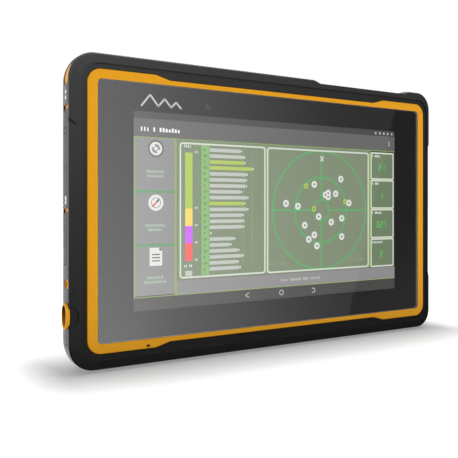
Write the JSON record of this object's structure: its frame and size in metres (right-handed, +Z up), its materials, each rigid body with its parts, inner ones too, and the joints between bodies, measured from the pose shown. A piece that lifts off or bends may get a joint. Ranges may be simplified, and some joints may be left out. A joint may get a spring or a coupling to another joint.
{
  "type": "rugged data collector tablet",
  "caption": "Rugged landscape tablet with a soft bumper frame, orange trim ring, side port covers, a pull-out stylus, top keys and a lift-out battery.",
  "frame": {"origin": "centre of the bottom resting face, at mid thickness", "axes": "+X to the right as the screen is looked at, +Y from the screen through to the back, +Z up"},
  "size_m": [0.2142, 0.0178, 0.1358],
  "materials": {
    "cover_glass": "clear, polished, strengthened",
    "black_ink": "printed black mask behind the glass",
    "clear_film": "clear film",
    "black_foam": "adhesive foam",
    "screen": "lit display panel",
    "white_plastic": "white diffuser in a thin frame",
    "black_plastic": "fine matte",
    "orange_plastic": "satin moulded, amber orange",
    "rubber": "soft-touch, very fine grain, charcoal",
    "magnesium": "die-cast, blasted",
    "silicone": "moulded silicone",
    "orange_silicone": "moulded silicone",
    "housing_plastic": "fine spark-eroded texture, charcoal",
    "circuit_board": "solder mask over glass laminate",
    "steel": "drawn steel sheet",
    "screw_steel": "black zinc",
    "ceramic": "ceramic patch with silvered face",
    "antenna_film": "copper on film",
    "window_glass": "coated cover window",
    "flash_lens": "clear moulded lens",
    "gold_contacts": "gold flashed",
    "brass": "knurled insert",
    "cell_wrap": "shrink film",
    "key_plastic": "satin keys"
  },
  "bodies": {
    "tablet": {"cover_glass": "cover_glass", "glass_border": "black_ink", "touch_sensor": "clear_film", "glass_adhesive": "black_foam", "lcd_panel": "screen", "backlight": "white_plastic", "front_camera": "black_plastic", "trim_ring": "orange_plastic", "microphone": "steel", "front_bumper": "rubber", "corner_accent": "orange_plastic", "tether_eyelet": "orange_plastic", "midframe": "magnesium", "housing_gasket": "silicone", "rear_corner_bumpers": "rubber", "rear_housing": "housing_plastic", "mainboard": "circuit_board", "io_board": "circuit_board", "board_chips": "black_plastic", "shield_cans": "steel", "gnss_antenna": "ceramic", "wifi_antenna": "antenna_film", "cellular_antenna": "antenna_film", "speaker": "black_plastic", "speaker_mesh": "steel", "rear_camera": "black_plastic", "rear_camera_window": "window_glass", "flash_lens": "flash_lens", "dock_connector": "black_plastic", "dock_pins": "gold_contacts", "button_board": "circuit_board", "button_seal": "silicone", "usb_connector": "steel", "hdmi_connector": "steel", "audio_jack": "black_plastic", "power_jack": "black_plastic", "hinge_pins": "steel", "battery_contacts": "black_plastic", "stylus_tube": "black_plastic", "strap_inserts": "brass", "housing_screws": "screw_steel", "board_screws": "screw_steel"},
    "port_cover_upper_flap": {"port_cover_upper": "rubber", "port_seal_upper": "orange_silicone"},
    "port_cover_lower_flap": {"port_cover_lower": "rubber", "port_seal_lower": "orange_silicone"},
    "battery_pack": {"battery_tray": "black_plastic", "battery_cells": "cell_wrap", "battery_lid": "housing_plastic", "battery_seal": "silicone"},
    "battery_lock": {"battery_latch": "orange_plastic"},
    "stylus": {"stylus_cap": "orange_plastic", "stylus_barrel": "black_plastic", "stylus_tip": "black_plastic"},
    "power_key": {"power_button": "key_plastic"},
    "volume_down_key": {"volume_down_button": "key_plastic"},
    "volume_up_key": {"volume_up_button": "key_plastic"},
    "function_key_left": {"function_button_left": "key_plastic"},
    "function_key_right": {"function_button_right": "key_plastic"}
  },
  "joints": [
    {"name": "power_press", "type": "slide", "parent": "tablet", "child": "power_key", "axis": [0, 0, -1], "range_m": [0, 0.0006], "stiffness_N_per_m": 900},
    {"name": "volume_down_press", "type": "slide", "parent": "tablet", "child": "volume_down_key", "axis": [0, 0, -1], "range_m": [0, 0.0006], "stiffness_N_per_m": 900},
    {"name": "volume_up_press", "type": "slide", "parent": "tablet", "child": "volume_up_key", "axis": [0, 0, -1], "range_m": [0, 0.0006], "stiffness_N_per_m": 900},
    {"name": "function_left_press", "type": "slide", "parent": "tablet", "child": "function_key_left", "axis": [0, 0, -1], "range_m": [0, 0.0006], "stiffness_N_per_m": 900},
    {"name": "function_right_press", "type": "slide", "parent": "tablet", "child": "function_key_right", "axis": [0, 0, -1], "range_m": [0, 0.0006], "stiffness_N_per_m": 900},
    {"name": "port_cover_upper_hinge", "type": "hinge", "parent": "tablet", "child": "port_cover_upper_flap", "pos_m": [-0.10395, 0.00305, 0.0909], "axis": [0, 0, -1], "range_deg": [0, 100]},
    {"name": "port_cover_lower_hinge", "type": "hinge", "parent": "tablet", "child": "port_cover_lower_flap", "pos_m": [-0.10395, 0.00305, 0.0573], "axis": [0, 0, -1], "range_deg": [0, 100]},
    {"name": "stylus_pull", "type": "slide", "parent": "tablet", "child": "stylus", "axis": [-1, 0, 0], "range_m": [0, 0.106]},
    {"name": "battery_lock_slide", "type": "slide", "parent": "tablet", "child": "battery_lock", "axis": [0, 0, -1], "range_m": [0, 0.003]},
    {"name": "battery_lift", "type": "slide", "parent": "tablet", "child": "battery_pack", "axis": [0, 1, 0], "range_m": [0, 0.02]}
  ]
}
